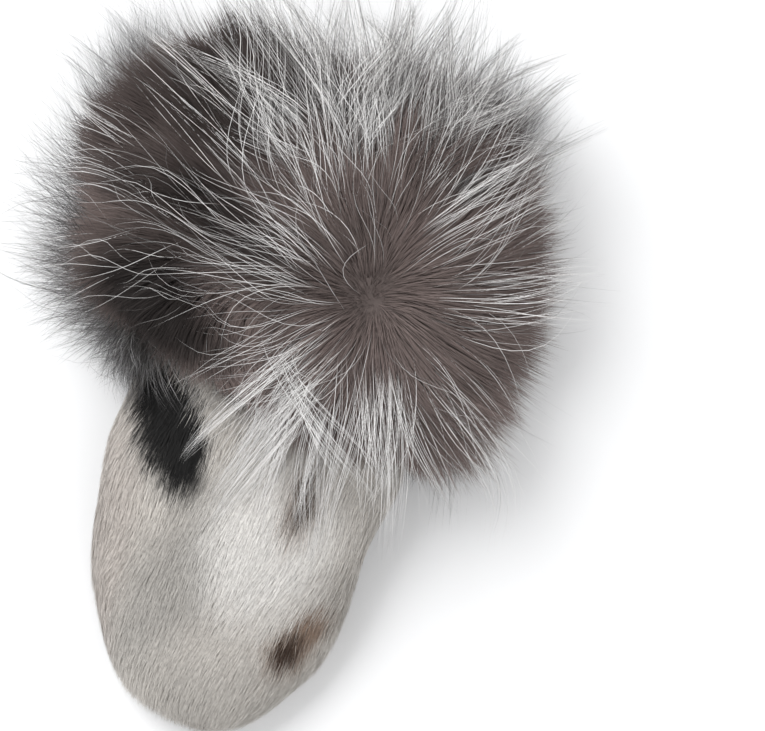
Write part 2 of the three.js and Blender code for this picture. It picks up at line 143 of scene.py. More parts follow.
def in_ellipse(x, y, row):
    """How far points lie inside a soft ellipse, from 0 to 1. A row gives half sizes and a turn."""
    turn = math.radians(row["turn"])
    across = (x * math.cos(turn) + y * math.sin(turn)) / row["wide"]
    along = (y * math.cos(turn) - x * math.sin(turn)) / row["long"]
    half_edge = row["edge"] / 2
    return 1 - smooth(1 - half_edge, 1 + half_edge, np.hypot(across, along))


# Materials

def new_material(name, roughness, specular):
    material = bpy.data.materials.new(name)
    material.use_nodes = True
    nodes = material.node_tree.nodes
    shader = nodes["Principled BSDF"]
    shader.inputs["Roughness"].default_value = roughness
    shader.inputs["Specular IOR Level"].default_value = specular
    return material, nodes, material.node_tree.links, shader


def node(nodes, kind, **values):
    made = nodes.new(kind)
    for name, value in values.items():
        if name in made.inputs:
            made.inputs[name].default_value = value
        else:
            setattr(made, name, value)
    return made


def attribute(nodes, name):
    return node(nodes, "ShaderNodeAttribute", attribute_name=name, attribute_type="GEOMETRY")


def ramp(nodes, links, source, stops):
    made = nodes.new("ShaderNodeValToRGB")
    elements = made.color_ramp.elements
    while len(elements) < len(stops):
        elements.new(0.5)
    for element, (place, colour) in zip(elements, stops):
        element.position = place
        element.color = (*colour, 1)
    links.new(source, made.inputs["Fac"])
    return made.outputs["Color"]


def mixed(nodes, links, share, first, second, blend="MIX"):
    made = node(nodes, "ShaderNodeMix", data_type="RGBA", blend_type=blend)
    sockets = (made.inputs[0], made.inputs[6], made.inputs[7])
    for socket, value in zip(sockets, (share, first, second)):
        if hasattr(value, "links"):
            links.new(value, socket)
        else:
            socket.default_value = value
    return made.outputs[2]


def relief(nodes, links, height, strength, distance):
    made = node(nodes, "ShaderNodeBump", Strength=strength, Distance=distance)
    links.new(height, made.inputs["Height"])
    return made


def hair_material(name, light_stops, dark_stops, roughness, sheen):
    """Hair that goes from one colour ramp to another with its tone, both read along the hair."""
    material, nodes, links, shader = new_material(name, roughness, 0.4)
    along = attribute(nodes, "along").outputs["Fac"]
    tone = attribute(nodes, "tone").outputs["Fac"]
    light = ramp(nodes, links, along, light_stops)
    dark = ramp(nodes, links, along, dark_stops)
    links.new(mixed(nodes, links, tone, dark, light), shader.inputs["Base Color"])
    shader.inputs["Sheen Weight"].default_value = sheen
    return material


EVEN = [(0.0, (1.0,) * 3), (1.0, (1.0,) * 3)]


def tinted_material(name, roughness, painted_shading=EVEN, grain=0.0):
    """Fur whose colour is worked out for each point, with fine streaks, and with a painted shade along a
    hair where one is given.
    """
    material, nodes, links, shader = new_material(name, roughness, 0.22)
    tint = attribute(nodes, "tint").outputs["Color"]
    along = attribute(nodes, "along").outputs["Fac"]
    place = nodes.new("ShaderNodeTexCoord")
    noise = node(nodes, "ShaderNodeTexNoise", Scale=600.0, Detail=2.0)
    links.new(place.outputs["Object"], noise.inputs["Vector"])
    streaks = ramp(nodes, links, noise.outputs["Fac"], [(0.3, (0.82,) * 3), (0.7, (1.0,) * 3)])
    colour = mixed(nodes, links, 1.0, tint, streaks, "MULTIPLY")
    # painted shade along the hair
    colour = mixed(nodes, links, 1.0, colour, ramp(nodes, links, along, painted_shading), "MULTIPLY")
    links.new(colour, shader.inputs["Base Color"])
    shader.inputs["Sheen Weight"].default_value = 0.06
    if grain:
        fine = relief(nodes, links, noise.outputs["Fac"], 0.5, grain)
        links.new(fine.outputs["Normal"], shader.inputs["Normal"])
    return material


def leather_material():
    material, nodes, links, shader = new_material("black_leather", 0.42, 0.5)
    place = nodes.new("ShaderNodeTexCoord")
    pores = node(nodes, "ShaderNodeTexVoronoi", feature="F1", Scale=1100.0)
    cloudy = node(nodes, "ShaderNodeTexNoise", Scale=60.0, Detail=4.0)
    creases = node(nodes, "ShaderNodeTexNoise", Scale=260.0, Detail=5.0)
    for texture in (pores, cloudy, creases):
        links.new(place.outputs["Object"], texture.inputs["Vector"])
    stops = [(0.3, LEATHER_DEEP), (0.75, LEATHER_WORN)]
    links.new(ramp(nodes, links, cloudy.outputs["Fac"], stops), shader.inputs["Base Color"])
    polish = node(nodes, "ShaderNodeMapRange")
    polish.inputs["To Min"].default_value = 0.34
    polish.inputs["To Max"].default_value = 0.52
    links.new(cloudy.outputs["Fac"], polish.inputs["Value"])
    links.new(polish.outputs["Result"], shader.inputs["Roughness"])
    deep = relief(nodes, links, creases.outputs["Fac"], 0.35, 0.0004)
    fine = relief(nodes, links, pores.outputs["Distance"], 0.3, 0.00015)
    links.new(deep.outputs["Normal"], fine.inputs["Normal"])
    links.new(fine.outputs["Normal"], shader.inputs["Normal"])
    return material


# Meshes

def link(thing):
    bpy.context.scene.collection.objects.link(thing)
    return thing


def add_field(mesh, name, values):
    """A value or a colour for each point of a mesh."""
    if values.ndim == 1:
        made = mesh.attributes.new(name, "FLOAT", "POINT")
        made.data.foreach_set("value", values.astype(np.float32))
    else:
        made = mesh.attributes.new(name, "FLOAT_COLOR", "POINT")
        opaque = np.concatenate([values, np.ones((len(values), 1))], axis=1)
        made.data.foreach_set("color", opaque.astype(np.float32).ravel())


def mesh_piece(name, points, faces, material, normals=None, **fields):
    """A piece from arrays. faces is a list of index arrays, one for each number of corners."""
    mesh = bpy.data.meshes.new(name)
    mesh.vertices.add(len(points))
    mesh.vertices.foreach_set("co", np.ascontiguousarray(points, np.float32).ravel())
    corners = np.concatenate([block.ravel() for block in faces]).astype(np.int32)
    sizes = np.concatenate([np.full(len(block), block.shape[1]) for block in faces]).astype(np.int32)
    starts = np.concatenate([[0], np.cumsum(sizes)[:-1]]).astype(np.int32)
    mesh.loops.add(len(corners))
    mesh.loops.foreach_set("vertex_index", corners)
    mesh.polygons.add(len(sizes))
    mesh.polygons.foreach_set("loop_start", starts)
    mesh.polygons.foreach_set("loop_total", sizes)
    for field, values in fields.items():
        add_field(mesh, field, values)
    mesh.update(calc_edges=True)
    mesh.validate()
    mesh.shade_smooth()
    if normals is not None:
        mesh.normals_split_custom_set_from_vertices(normals.astype(np.float32))
    mesh.materials.append(material)
    return link(bpy.data.objects.new(name, mesh))


def strands(name, lines, width, facing, roll, profile, material, tone, tint=None):
    """Flat tapering hairs. lines is (hairs, stations, 3), and facing is each hair's way out."""
    count, stations = lines.shape[:2]
    ahead = unit(np.gradient(lines, axis=1))
    out = unit(facing[:, None] - ahead * dot(facing[:, None], ahead))
    beside = np.cross(ahead, out)
    turned = out * np.cos(roll)[:, None, None] + beside * np.sin(roll)[:, None, None]
    across = np.cross(turned, ahead) * (width[:, None] * profile / 2)[..., None]
    left = (lines + across)[:, :-1]
    right = (lines - across)[:, :-1]
    edges = np.stack([left, right], axis=2).reshape(count, -1, 3)
    points = np.concatenate([edges, lines[:, -1:]], axis=1)
    per_hair = 2 * stations - 1
    start = (np.arange(count) * per_hair)[:, None]
    corner = start + 2 * np.arange(stations - 2)[None]
    quads = np.stack([corner, corner + 1, corner + 3, corner + 2], axis=-1).reshape(-1, 4)
    tip = start + 2 * (stations - 2)
    tips = np.concatenate([tip, tip + 1, tip + 2], axis=1)
    along = np.repeat(np.linspace(0, 1, stations), 2)[:-1]
    normals = np.repeat(out, 2, axis=1)[:, :-1].reshape(-1, 3)
    fields = {"along": np.tile(along, count), "tone": np.repeat(tone, per_hair)}
    if tint is not None:
        fields["tint"] = np.repeat(tint, per_hair, axis=0)
    return mesh_piece(name, points.reshape(-1, 3), [quads, tips], material, normals, **fields)


def dress(piece, slot, *nodes):
    """Hides the solids that the piece takes the place of, and lets it ride with the mitten."""
    if nodes:
        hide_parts(*nodes)
    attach(piece, "root")
    return piece


# Camera, floor and light

def picture_to_floor(pixel):
    """World x and y of a pixel, on the height at which the photograph's scale was measured."""
    right = pixel[0] - PHOTO_TIP[0]
    down = pixel[1] - PHOTO_TIP[1]
    x = (right * math.cos(PHOTO_TILT) + down * math.sin(PHOTO_TILT)) / PIXELS_PER_METRE
    y = (right * math.sin(PHOTO_TILT) - down * math.cos(PHOTO_TILT)) / PIXELS_PER_METRE
    return x + TIP_X, y + TIP_Y


def make_camera():
    data = bpy.data.cameras.new("camera")
    camera = link(bpy.data.objects.new("camera", data))
    camera.location = (*picture_to_floor((PHOTO_WIDTH / 2, PHOTO_HEIGHT / 2)), CAMERA_HEIGHT)
    camera.rotation_euler = (0, 0, PHOTO_TILT)
    data.sensor_width = SENSOR
    data.lens = SENSOR * (CAMERA_HEIGHT - SHARP_HEIGHT) / (PHOTO_WIDTH / PIXELS_PER_METRE)
    data.clip_start = 0.05
    data.clip_end = 20
    bpy.context.scene.camera = camera


def make_floor():
    material, _, _, shader = new_material("pale_floor", 0.9, 0.1)
    shader.inputs["Base Color"].default_value = (*FLOOR_COLOUR, 1)
    mesh = bpy.data.meshes.new("floor")
    reach = 3.0
    corners = [(-reach, -reach, 0), (reach, -reach, 0), (reach, reach, 0), (-reach, reach, 0)]
    mesh.from_pydata(corners, [], [(0, 1, 2, 3)])
    mesh.materials.append(material)
    floor = link(bpy.data.objects.new("floor", mesh))
    floor.location.z = -0.0002


# Soft lamps: place and size in metres, power in watts
LAMPS = table(
    "name    place                size power",
    ("key", (-0.75, 0.75, 1.25), 0.9, 18),
    ("fill", (0.9, -0.5, 1.3), 1.2, 4),
)
LIT_PLACE = Vector((0.0, 0.12, 0.03))


def make_light():
    world = bpy.data.worlds.new("studio")
    world.use_nodes = True
    background = world.node_tree.nodes["Background"]
    background.inputs["Color"].default_value = (1.0, 1.0, 1.0, 1)
    background.inputs["Strength"].default_value = 0.68
    bpy.context.scene.world = world
    for row in LAMPS:
        data = bpy.data.lights.new(row["name"], "AREA")
        data.size = row["size"]
        data.energy = row["power"]
        lamp = link(bpy.data.objects.new(row["name"], data))
        lamp.location = row["place"]
        towards = LIT_PLACE - Vector(row["place"])
        lamp.rotation_euler = towards.to_track_quat("-Z", "Y").to_euler()
    bpy.context.scene.view_settings.view_transform = "Standard"


# The body: the hide, the palm and the thumb, taken from the solids and refined

def refined(name, node_name):
    """A finer copy of a solid's mesh, smoothed by subdivision."""
    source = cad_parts[node_name]
    piece = source.copy()
    piece.data = source.data.copy()
    piece.name = name
    piece.data.name = name
    piece.parent = None
    for key in [key for key in piece.keys() if key.startswith("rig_")]:
        del piece[key]
    link(piece)
    bpy.context.view_layer.objects.active = piece
    weld = piece.modifiers.new("weld", "WELD")
    weld.merge_threshold = 0.00002
    finer = piece.modifiers.new("finer", "SUBSURF")
    finer.levels = 1
    finer.render_levels = 1
    graph = bpy.context.evaluated_depsgraph_get()
    mesh = bpy.data.meshes.new_from_object(piece.evaluated_get(graph))
    piece.modifiers.clear()
    piece.data = mesh
    mesh.materials.clear()
    mesh.shade_smooth()
    return piece


def read(items, field, kind=np.float32):
    """Three numbers for each item of a mesh, in rows."""
    values = np.empty(len(items) * 3, kind)
    items.foreach_get(field, values)
    return values.reshape(-1, 3)


# Markings on the back. x and s (from the fingertips) and half sizes are in millimetres, turn is in
# degrees, edge is the soft edge's share of the size and depth how strongly the colour shows. The
# bright patch is painted light and the grey patches painted shade, where light falls on or turns
# from the hair's whorls; the brown, rust and black spots are the fur's own colour.
MARKINGS = table(
    "x   s  wide long turn colour      edge depth",
    (28, 46, 5, 9, -25, BROWN_SPOT, 0.8, 1.0),
    (30, 49, 8, 14, -35, RUST, 1.0, 0.8),
    (38, 60, 4, 9, -42, RUST, 1.0, 0.8),
    (23, 113, 4, 12, -10, BROWN_SPOT, 0.8, 0.9),
    (23, 112, 7, 16, -10, RUST, 1.0, 0.6),
    (-38, 134, 14, 31, 25, BLACK_SPOT, 0.4, 1.0),
    # painted light: the bright patch
    (13, 92, 27, 36, -18, BRIGHT_LIT_FUR, 0.9, 1.0),
    # painted shade: the grey patches
    (-22, 72, 16, 50, -30, GREY_SHADED_FUR, 1.0, 0.75),
    (-58, 80, 12, 60, 0, ROSY_FUR, 1.0, 0.6),
    (5, 22, 40, 18, 0, GREY_SHADED_FUR, 1.0, 0.35),
)


def back_colour(points):
    """Colour of the short fur at points of the back, with painted light and shade in its bright and grey
    patches.
    """
    flat = points[:, :2] / MM
    flat = flat + 2.2 * np.stack([waves(flat, 9, 3), waves(flat, 7, 4)], axis=1)
    colour = np.tile(np.array(PALE_FUR), (len(points), 1))
    colour *= (1 + 0.07 * waves(flat, 24, 5))[:, None]
    for mark in reversed(MARKINGS):
        inside = in_ellipse(flat[:, 0] - mark["x"], flat[:, 1] - TIP_Y / MM - mark["s"], mark)
        colour = mix(colour, np.array(mark["colour"]), (mark["depth"] * inside)[:, None])
    return colour


def scatter(rng, mesh, count, density):
    """Random places on a mesh, with normals. density weighs face centres and face normals."""
    points = read(mesh.vertices, "co").astype(float)
    normals = read(mesh.vertices, "normal").astype(float)
    mesh.calc_loop_triangles()
    triangles = read(mesh.loop_triangles, "vertices", np.int32)
    corners = points[triangles]
    faces = np.cross(corners[:, 1] - corners[:, 0], corners[:, 2] - corners[:, 0])
    weight = np.linalg.norm(faces, axis=1) * density(corners.mean(axis=1), unit(faces))
    chosen = rng.choice(len(weight), count, p=weight / weight.sum())
    share = rng.dirichlet((1, 1, 1), count)[..., None]
    places = np.sum(corners[chosen] * share, axis=1)
    return places, unit(np.sum(normals[triangles[chosen]] * share, axis=1))


# A line through the hand's room, from the fingertips to the wrist
MIDDLE_LINE_X = -0.002
MIDDLE_LINE_Y = (TIP_Y, 0.012, 0.064, WRIST_Y)
MIDDLE_LINE_Z = (0.012, 0.012, 0.027, 0.03)


def back_density(centres, faces):
    """Hair stands on the outer side of the hide, up to where the cuff covers it."""
    inner = centres.copy()
    inner[:, 0] = MIDDLE_LINE_X
    inner[:, 2] = np.interp(centres[:, 1], MIDDLE_LINE_Y, MIDDLE_LINE_Z)
    outward = dot(faces, unit(centres - inner))[:, 0] > 0.15
    return outward & (centres[:, 1] < WRIST_Y - 0.004)


# Short hair of the back. Its lift over the hide is in degrees.
SHORT_HAIRS = 62000
SHORT_LIFT = (4, 15)
SHORT_LENGTH = (0.008, 0.0135)
SHORT_WIDTH = (0.00016, 0.0003)
# The hide is darkened under its hair as painted shade
HIDE_PAINTED_SHADE = 0.75  # how light the hide is under its hair


def make_back():
    hide = refined("back_hide", "fur_back")
    hide.data.materials.append(tinted_material("short_fur_hide", 0.75, grain=0.0004))
    # painted shade on the hide under its hair
    tint = back_colour(read(hide.data.vertices, "co").astype(float)) * HIDE_PAINTED_SHADE
    add_field(hide.data, "tint", tint)
    dress(hide, "short_fur", "fur_back")

    rng = np.random.default_rng(11)
    count = SHORT_HAIRS
    roots, out = scatter(rng, hide.data, count, back_density)
    swirl = 0.24 + 0.22 * waves(roots[:, :2] / MM, 34, 5) + 0.1 * rng.normal(size=count)
    ahead = np.stack([-np.sin(swirl), -np.cos(swirl), np.zeros(count)], axis=1)
    ahead = unit(ahead - out * dot(ahead, out))
    lift = np.radians(rng.uniform(*SHORT_LIFT, count))[:, None]
    half = rng.uniform(*SHORT_LENGTH, count)[:, None] * 0.5
    middles = roots + (ahead * np.cos(lift) + out * np.sin(lift)) * half
    ends = middles + (ahead * np.cos(lift * 0.3) + out * np.sin(lift * 0.3)) * half
    lines = np.stack([roots - out * 0.0003, middles, ends], axis=1)
    lines[..., 2] = np.maximum(lines[..., 2], FLOOR_GAP)
    streak = -ahead * (rng.uniform(-0.002, 0.012, count) * rng.uniform(0, 1, count))[:, None]
    tint = back_colour(roots + streak + rng.normal(scale=0.0012, size=roots.shape))
    tint *= rng.uniform(0.86, 1.12, count)[:, None]
    width = rng.uniform(*SHORT_WIDTH, count)
    roll = rng.normal(scale=0.4, size=count)
    material = tinted_material("short_fur_hair", 0.6)
    tone = rng.uniform(0, 1, count)
    profile = np.array([1.0, 0.8, 0.0])
    short = strands("short_fur", lines, width, out, roll, profile, material, tone, tint)
    dress(short, "short_fur")


def make_leather():
    material = leather_material()
    for name, node_name in (("palm_leather", "leather_palm"), ("thumb_leather", "leather_thumb")):
        piece = refined(name, node_name)
        piece.data.materials.append(material)
        dress(piece, "black_leather", node_name)


# The cuff's band: places on it are a turn from +X over the top and a share along from the wrist

def powered(value, power):
    return np.sign(value) * np.abs(value) ** power


def band_place(turn, along, out):
    """Points and normals at a distance from the hand's side of the band."""
    turn, along, out = np.broadcast_arrays(turn, along, out)
    flare = RIM_FLARE * np.clip(along, 0, 1)
    half_x = HAND_HALF_WIDTH + flare
    half_z = (HAND_HIGH - HAND_LOW) / 2 + flare
    sine, cosine = np.sin(turn), np.cos(turn)
    normal = unit(np.stack([
        powered(cosine, 2 - SQUARENESS) / half_x,
        np.zeros_like(turn),
        powered(sine, 2 - SQUARENESS) / half_z,
    ], axis=-1))
    point = np.stack([
        half_x * powered(cosine, SQUARENESS),
        WRIST_Y + along * CUFF_LENGTH,
        HAND_MIDDLE + half_z * powered(sine, SQUARENESS),
    ], axis=-1)
    return point + normal * out[..., None], normal


def turn_and_along(points):
    """Roughly where on the band points near it are."""
    rise = (points[:, 2] - HAND_MIDDLE) * HAND_HALF_WIDTH / (HAND_MIDDLE - HAND_LOW)
    return np.arctan2(rise, points[:, 0]) % FULL_TURN, (points[:, 1] - WRIST_Y) / CUFF_LENGTH


RING_TURNS = np.linspace(0, FULL_TURN, 721)
RING = band_place(RING_TURNS, 0.5, CUFF_HIDE)[0]
RING_LENGTHS = np.concatenate([[0], np.cumsum(np.linalg.norm(np.diff(RING, axis=0), axis=1))])


def spread_turns(share):
    """Turns at shares of the way round the band, evenly by length."""
    return np.interp(share % 1, RING_LENGTHS / RING_LENGTHS[-1], RING_TURNS)


# Partings in the fur, and swells with a depth below zero, as in the solids: turn and spread in
# degrees, along and length as shares of the band, depth as a share of the fur's
PARTINGS = table(
    "turn along spread length depth",
    (104, 0.56, 30, 0.36, 0.34),
    (150, 0.12, 26, 0.4, 0.24),
    (38, 0.86, 22, 0.34, 0.2),
    (76, 1.1, 20, 0.3, 0.22),
    (12, 0.2, 16, 0.4, 0.16),
    (336, 0.1, 50, 0.9, -0.26),
    (352, 0.85, 36, 0.5, -0.22),
    (136, 1.35, 44, 0.6, -0.36),
    (187, 0.55, 42, 0.9, -0.26),
)


def parting(turn, along):
    total = np.zeros(np.broadcast(turn, along).shape)
    for row in PARTINGS:
        aside = (np.degrees(turn) - row["turn"] + 180) % 360 - 180
        total += row["depth"] * bump(aside, row["spread"]) * bump(along - row["along"], row["length"])
    return total


# Outline of the dense underfur seen from above, in millimetres
UNDERFUR_OUTLINE = np.array([
    (-58, 136), (-84, 144), (-96, 162), (-98, 190), (-98, 212), (-95, 230), (-82, 251), (-57, 270),
    (-37, 278), (-15, 274), (1, 269), (25, 270), (45, 269), (70, 262), (92, 246), (104, 213),
    (110, 180), (111, 147), (104, 122), (94, 102), (73, 94), (46, 96), (14, 103), (-16, 119),
])
OUTLINE_MIDDLE = np.array((5.0, 192.0))


def outline_share(points):
    """How far out points lie, where 1 is on the outline of the underfur."""
    spokes = UNDERFUR_OUTLINE - OUTLINE_MIDDLE
    angles = np.arctan2(spokes[:, 1], spokes[:, 0])
    order = np.argsort(angles)
    reach = np.linalg.norm(spokes, axis=1)
    offset = points[..., :2] / MM - OUTLINE_MIDDLE
    angle = np.arctan2(offset[..., 1], offset[..., 0])
    limit = np.interp(angle, angles[order], reach[order], period=FULL_TURN)
    return np.linalg.norm(offset, axis=-1) / limit


def drawn_in(lines, limit):
    """Shortens lines that reach beyond a share of the outline."""
    start, end = outline_share(lines[:, 0]), outline_share(lines[:, -1])
    keep = np.where(end > limit, (limit - start) / np.maximum(end - start, 1e-6), 1)
    return lines[:, :1] + (lines - lines[:, :1]) * np.clip(keep, 0.2, 1)[:, None, None]


# Section of the fur along the band, round from the wrist to the rim, as shares of the band's
# length and of the underfur's depth
UNDERFUR_PROFILE = table(
    "along out",
    (0.0, 0.17), (-0.13, 0.2), (-0.28, 0.31), (-0.36, 0.47), (-0.31, 0.66), (-0.13, 0.84), (0.14, 0.96),
    (0.45, 1.0), (0.77, 0.98), (1.08, 0.89), (1.32, 0.71), (1.4, 0.49), (1.29, 0.28), (1.08, 0.19),
)
MASS_OUTLINE = 0.92  # share of the underfur's outline that its inner mass fills
MASS_AROUND = 180  # places round the mass


def mass_section():
    """Places along and heights of the mass, on along the band and back inside the hide."""
    steps = np.linspace(0, 1, 61)
    rows = np.linspace(0, 1, len(UNDERFUR_PROFILE))
    along = np.interp(steps, rows, [row["along"] for row in UNDERFUR_PROFILE])
    out = np.interp(steps, rows, [row["out"] for row in UNDERFUR_PROFILE])
    out = np.maximum(out * UNDERFUR_DEPTH * MASS_SHARE, CUFF_HIDE)
    back = np.linspace(0.9, 0.1, 9)
    along = np.concatenate([[0.0, 0.0], along, [1.0, 1.0], back])
    return along, np.concatenate([[0.0, CUFF_HIDE], out, [CUFF_HIDE, 0.0], np.zeros_like(back)])


def make_cuff_mass():
    """The hide band and the inner mass of the underfur, in one closed skin, darkened as painted shade in the
    fur's depth.
    """
    along, out = (values[None] for values in mass_section())
    turn = np.linspace(0, FULL_TURN, MASS_AROUND, endpoint=False)[:, None]
    fur = out > CUFF_HIDE
    points, normal = band_place(turn, along, out * (1 - parting(turn, along) * fur))
    lumps = waves(points, 0.022, 21) * 0.0022 + waves(points, 0.009, 22) * 0.0009
    points = points + normal * (lumps * fur)[..., None]
    over = np.maximum(outline_share(points) / MASS_OUTLINE, 1)[..., None]
    middle = OUTLINE_MIDDLE * MM
    points[..., :2] = middle + (points[..., :2] - middle) / over
    points[..., 2] = np.maximum(points[..., 2], FLOOR_GAP)
    columns = along.size
    row = np.arange(MASS_AROUND)[:, None]
    this = row * columns
    following = (row + 1) % MASS_AROUND * columns
    column = np.arange(columns)[None]
    beyond = (column + 1) % columns
    corners = [this + column, this + beyond, following + beyond, following + column]
    quads = np.stack(corners, axis=-1).reshape(-1, 4)
    plain = [(0.0, SHADED_MASS_COLOUR), (1.0, SHADED_MASS_COLOUR)]
    material = hair_material("cuff_mass", plain, plain, 0.95, 0.15)
    piece = mesh_piece("cuff_hide", points.reshape(-1, 3), [quads], material)
    return dress(piece, "fox_fur", "fox_cuff")


# Fox hair

def fall(points):
    """Turns hair on the lower left towards the fingertips, in radians."""
    x, y = points[:, 0] / MM, points[:, 1] / MM
    return 1.5 * smooth(30, -15, x) * smooth(188, 148, y) * (points[:, 2] > 0.03)


def away_from(centre, points, normals, swing):
    """Ways in the skin that point away from a centre, turned by a swing in radians."""
    away = points - centre
    away = unit(away - normals * dot(away, normals))
    beside = np.cross(normals, away)
    return away * np.cos(swing)[:, None] + beside * np.sin(swing)[:, None]


def bent_lines(points, normals, away, bend, reach, stations):
    """Lines from points that start along the normals and bend away from them."""
    steps = normals[:, None] * np.cos(bend) + away[:, None] * np.sin(bend)
    steps = steps * reach[:, None, None] / (stations - 1)
    return points[:, None] + np.cumsum(steps, axis=1) - steps[:, :1]


def stations_along(stations):
    return np.linspace(0, 1, stations)[None, :, None]


# The room that the body's back and the hand take under the hair
ROOM_HALF_WIDTH = 0.0665
ROOM_SIDE = 0.028
ROOM_RISE = 0.0275
ROOM_POWER = 2.4


def outside_body(lines):
    """Lifts hair that would run through the body's back or the hollow of the cuff."""
    x, y, z = lines[..., 0], lines[..., 1], lines[..., 2]
    over = np.abs(x) / ROOM_HALF_WIDTH
    top = ROOM_SIDE + ROOM_RISE * np.clip(1 - over ** ROOM_POWER, 0, 1) ** (1 / ROOM_POWER)
    inside = (y < WRIST_Y + 0.002) & (over < 1) & (z > 0.022)
    lines[..., 2] = np.where(inside & (z < top), top, z)
    return lines


# Painted shade on the underfur seen from above, in its troughs and between its locks: place and half sizes
# in millimetres, turn in degrees, light as a share of the usual colour
UNDERFUR_SHADE_PATCHES = table(
    "x    y   wide long turn light edge",
    (-23, 187, 42, 13, -19, 0.2, 1.2),
    (-48, 158, 26, 22, 0, 0.1, 1.0),
    (-66, 230, 40, 34, 0, 0.42, 1.2),
    (-20, 240, 28, 32, 0, 0.3, 1.2),
    (80, 190, 45, 80, 0, 0.85, 1.2),
    (66, 245, 22, 12, 0, 0.3, 1.2),
)


def underfur_tone_and_shade(points):
    """How light the underfur is at points, as a share of its usual colour: its own uneven tone, and painted
    shade in the patches on top.
    """
    light = 1 + 0.16 * waves(points, 0.03, 61) + 0.12 * waves(points, 0.012, 62)
    for patch in UNDERFUR_SHADE_PATCHES:
        x = points[:, 0] / MM - patch["x"]
        y = points[:, 1] / MM - patch["y"]
        light = light * mix(1.0, patch["light"], in_ellipse(x, y, patch) * (points[:, 2] > 0.03))
    return light


def underfur_density(centres, faces):
    """Underfur stands on the mass's outer side, less where it faces the floor."""
    outer = band_place(*turn_and_along(centres), 0.006)[0]
    outside = dot(centres - outer, faces)[:, 0] > 0
    return outside * mix(0.3, 1.0, smooth(-0.4, 0.3, faces[:, 2]))


# The underfur's three pieces, and what each of them holds. It is shortest round the crown.
UNDERFUR_PIECES = table("name seed", ("underfur_a", 31), ("underfur_b", 32), ("underfur_c", 33))
UNDERFUR_HAIRS = 33000
UNDERFUR_CLUMPS = 3000
UNDERFUR_STATIONS = 4
UNDERFUR_LENGTH = (0.012, 0.027)
UNDERFUR_WIDTH = (0.0002, 0.00038)
UNDERFUR_LEAN = math.radians(64)
# Painted shade at the underfur's roots and painted light at its tips, as shares of its colour
UNDERFUR_PAINTED_SHADING = [(0.0, (0.75,) * 3), (0.5, (0.92,) * 3), (1.0, (1.1,) * 3)]


def underfur_lines(points, facing, lean_more, swing_more, longer):
    """Short dense hair that parts round the crown, and stands out more at the rims and sides."""
    centre = band_place(CROWN_TURN, CROWN_ALONG, UNDERFUR_DEPTH * MASS_SHARE)[0]
    near = np.linalg.norm(points - centre, axis=1)
    lean = UNDERFUR_LEAN * mix(0.35, 1.0, smooth(0.0, 0.016, near)) + 0.16 * waves(points, 0.016, 71)
    swing = 0.28 * waves(points, 0.028, 72) + 0.12 * waves(points, 0.009, 73) + fall(points)
    rim = np.maximum(smooth(0.2, 0.9, facing[:, 1]), smooth(0.3, 0.9, np.abs(facing[:, 0])))
    reach = mix(*UNDERFUR_LENGTH, smooth(0.0, 0.022, near)) * (1 + 0.8 * rim)
    reach = reach * (1 + 0.22 * waves(points, 0.013, 74)) * longer
    lean = lean * (1 - 0.4 * rim) + lean_more
    roots = points - facing * 0.002
    away = away_from(centre, roots, facing, swing + swing_more)
    at = stations_along(UNDERFUR_STATIONS)
    bend = lean[:, None, None] * mix(0.45, 1.05, at)
    lines = bent_lines(roots, facing, away, bend, reach, UNDERFUR_STATIONS)
    lines[..., 2] -= (0.003 + 0.006 * rim[:, None]) * at[..., 0] ** 2
    return lines


def make_underfur(mass, name, seed):
    rng = np.random.default_rng(seed)
    count, clumps = UNDERFUR_HAIRS, UNDERFUR_CLUMPS
    middles, middle_normals = scatter(rng, mass.data, clumps, underfur_density)
    roots, normals = scatter(rng, mass.data, count, underfur_density)
    tree = KDTree(clumps)
    for index, middle in enumerate(middles):
        tree.insert(middle, index)
    tree.balance()
    clump = np.array([tree.find(root)[1] for root in roots])

    lean_more = rng.normal(scale=0.1, size=count)
    swing_more = rng.normal(scale=0.12, size=count)
    lines = underfur_lines(roots, normals, lean_more, swing_more, rng.uniform(0.75, 1.1, count))
    none = np.zeros(clumps)
    longer = rng.uniform(0.85, 1.15, clumps)
    leaders = underfur_lines(middles, middle_normals, none, none, longer)
    at = stations_along(UNDERFUR_STATIONS)
    lines = lines + (leaders[clump] - lines) * 0.33 * at ** 1.4
    uneven = rng.uniform(0.93, 1.05, clumps)[clump] * (1 + 0.06 * waves(roots, 0.02, 75))
    lines = drawn_in(lines, rng.uniform(0.9, 1.06, count) * uneven)
    low = FLOOR_GAP + rng.uniform(0, 0.004, (count, 1))
    lines[..., 2] = np.maximum(lines[..., 2], low)
    # Painted shade of the patches, with random tone
    light = underfur_tone_and_shade(roots) * rng.uniform(0.88, 1.12, count)
    light = light * rng.uniform(0.95, 1.05, clumps)[clump]
    tint = np.array(UNDERFUR)[None] * light[:, None]
    width = rng.uniform(*UNDERFUR_WIDTH, count)
    roll = rng.normal(scale=0.25, size=count)
    profile = np.array([1.0, 1.0, 0.65, 0.0])
    material = tinted_material(name, 0.75, UNDERFUR_PAINTED_SHADING)
    lines = outside_body(lines)
    piece = strands(name, lines, width, normals, roll, profile, material, np.zeros(count), tint)
    dress(piece, "fox_fur")


# Where long hair has its roots: weights by turn in degrees and place along the band

